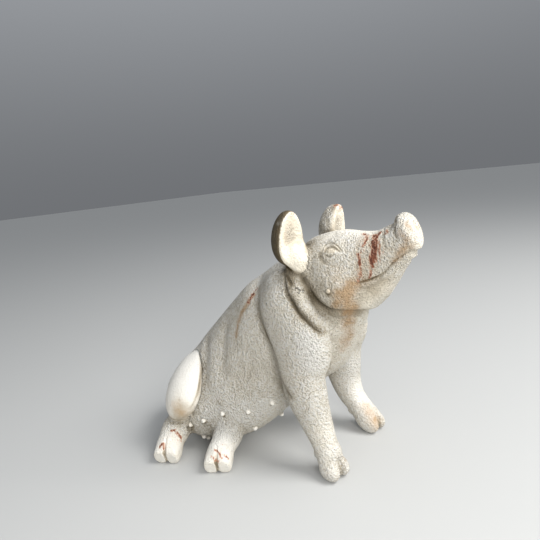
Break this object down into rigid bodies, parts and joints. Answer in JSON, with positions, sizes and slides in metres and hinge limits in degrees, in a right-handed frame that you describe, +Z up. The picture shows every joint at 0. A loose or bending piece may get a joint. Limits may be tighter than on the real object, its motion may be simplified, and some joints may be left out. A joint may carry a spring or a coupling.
{
  "type": "seated pig statue",
  "caption": "Life-size garden statue of a seated sow with her snout raised, cast in iron and painted off-white, weathered and rust-stained.",
  "frame": {"origin": "centre of the bounding box's footprint, on the floor", "axes": "+Z up, -Y the way the sow faces, +X her left side"},
  "size_m": [0.4896, 0.7592, 0.6537],
  "materials": {
    "paint": "weathered off-white paint on rough cast iron",
    "eye_paint": "the same paint, smooth over the eyeball"
  },
  "bodies": {
    "root": {"trunk": "paint", "neck": "paint", "head": "paint", "snout": "paint", "ear_right": "paint", "ear_left": "paint", "eye_right": "eye_paint", "eye_left": "eye_paint", "haunch_right": "paint", "tail": "paint", "foreleg_right": "paint", "trotter_front_right": "paint", "foreleg_left": "paint", "trotter_front_left": "paint", "hindleg_right": "paint", "trotter_hind_right": "paint", "hindleg_left": "paint", "trotter_hind_left": "paint"}
  },
  "joints": []
}
